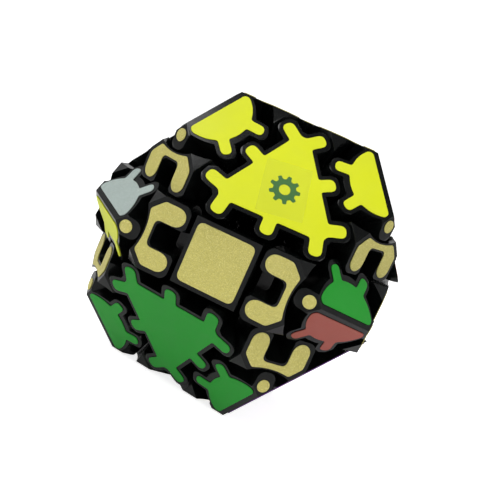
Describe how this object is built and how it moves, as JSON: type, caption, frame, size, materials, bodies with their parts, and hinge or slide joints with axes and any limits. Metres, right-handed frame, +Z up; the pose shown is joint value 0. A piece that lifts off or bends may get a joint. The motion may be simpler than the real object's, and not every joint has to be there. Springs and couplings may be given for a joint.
{
  "type": "geared tetradecahedron twisty puzzle",
  "caption": "Geared twisty puzzle in the shape of a truncated octahedron, three layers per axis, with bevel gears on its edges so that opposite layers turn together",
  "frame": {"origin": "centre of the lowest square face, on the surface it rests on", "axes": "+Z up along the axis that is being turned, -Y out of the middle layer's front square, +X out of its right-hand square"},
  "size_m": [0.0734, 0.0734, 0.07],
  "materials": {
    "black_plastic": "glossy injection-moulded black plastic",
    "inner_plastic": "plain black plastic inside the mechanism",
    "metal": "zinc-plated steel",
    "stickers": "vinyl stickers: gold flake on the squares and arms, plain colours on the hexagons"
  },
  "bodies": {
    "middle_layer": {"core": "inner_plastic", "core_screws": "metal", "springs": "metal", "centre_front": "black_plastic", "centre_right": "black_plastic", "centre_back": "black_plastic", "centre_left": "black_plastic", "slice_covers": "black_plastic", "slice_saddle_front_right": "black_plastic", "slice_saddle_back_right": "black_plastic", "slice_saddle_back_left": "black_plastic", "slice_saddle_front_left": "black_plastic", "slice_feet": "inner_plastic", "slice_stickers": "stickers"},
    "top_layer": {"centre_top": "black_plastic", "top_cover": "black_plastic", "top_saddle_front": "black_plastic", "top_saddle_right": "black_plastic", "top_saddle_back": "black_plastic", "top_saddle_left": "black_plastic", "top_gear_front": "black_plastic", "top_gear_right": "black_plastic", "top_gear_back": "black_plastic", "top_gear_left": "black_plastic", "top_feet": "inner_plastic", "top_gear_screws": "metal", "top_corner_front_right": "black_plastic", "top_corner_back_right": "black_plastic", "top_corner_back_left": "black_plastic", "top_corner_front_left": "black_plastic", "top_stickers": "stickers"},
    "bottom_layer": {"centre_bottom": "black_plastic", "bottom_cover": "black_plastic", "bottom_saddle_front": "black_plastic", "bottom_saddle_right": "black_plastic", "bottom_saddle_back": "black_plastic", "bottom_saddle_left": "black_plastic", "bottom_gear_front": "black_plastic", "bottom_gear_right": "black_plastic", "bottom_gear_back": "black_plastic", "bottom_gear_left": "black_plastic", "bottom_feet": "inner_plastic", "bottom_gear_screws": "metal", "bottom_corner_front_right": "black_plastic", "bottom_corner_back_right": "black_plastic", "bottom_corner_back_left": "black_plastic", "bottom_corner_front_left": "black_plastic", "bottom_stickers": "stickers"},
    "gear_front_right": {"slice_gear_front_right": "black_plastic", "gear_screw_front_right": "metal", "gear_stickers_front_right": "stickers"},
    "gear_back_right": {"slice_gear_back_right": "black_plastic", "gear_screw_back_right": "metal", "gear_stickers_back_right": "stickers"},
    "gear_back_left": {"slice_gear_back_left": "black_plastic", "gear_screw_back_left": "metal", "gear_stickers_back_left": "stickers"},
    "gear_front_left": {"slice_gear_front_left": "black_plastic", "gear_screw_front_left": "metal", "gear_stickers_front_left": "stickers"}
  },
  "joints": [
    {"name": "top_turn", "type": "hinge", "parent": "middle_layer", "child": "top_layer", "pos_m": [0, 0, 0.035], "axis": [0, 0, 1], "continuous": true},
    {"name": "bottom_turn", "type": "hinge", "parent": "middle_layer", "child": "bottom_layer", "pos_m": [0, 0, 0.035], "axis": [0, 0, 1], "continuous": true},
    {"name": "spin_front_right", "type": "hinge", "parent": "middle_layer", "child": "gear_front_right", "pos_m": [0.02121, -0.02121, 0.035], "axis": [0.7071, -0.7071, 0], "continuous": true},
    {"name": "spin_back_right", "type": "hinge", "parent": "middle_layer", "child": "gear_back_right", "pos_m": [0.02121, 0.02121, 0.035], "axis": [0.7071, 0.7071, 0], "continuous": true},
    {"name": "spin_back_left", "type": "hinge", "parent": "middle_layer", "child": "gear_back_left", "pos_m": [-0.02121, 0.02121, 0.035], "axis": [-0.7071, 0.7071, 0], "continuous": true},
    {"name": "spin_front_left", "type": "hinge", "parent": "middle_layer", "child": "gear_front_left", "pos_m": [-0.02121, -0.02121, 0.035], "axis": [-0.7071, -0.7071, 0], "continuous": true}
  ],
  "couplings": [
    {"joint": "bottom_turn", "follows": "top_turn", "ratio": -1},
    {"joint": "spin_front_right", "follows": "top_turn", "ratio": -3.3333},
    {"joint": "spin_back_right", "follows": "top_turn", "ratio": -3.3333},
    {"joint": "spin_back_left", "follows": "top_turn", "ratio": -3.3333},
    {"joint": "spin_front_left", "follows": "top_turn", "ratio": -3.3333}
  ]
}
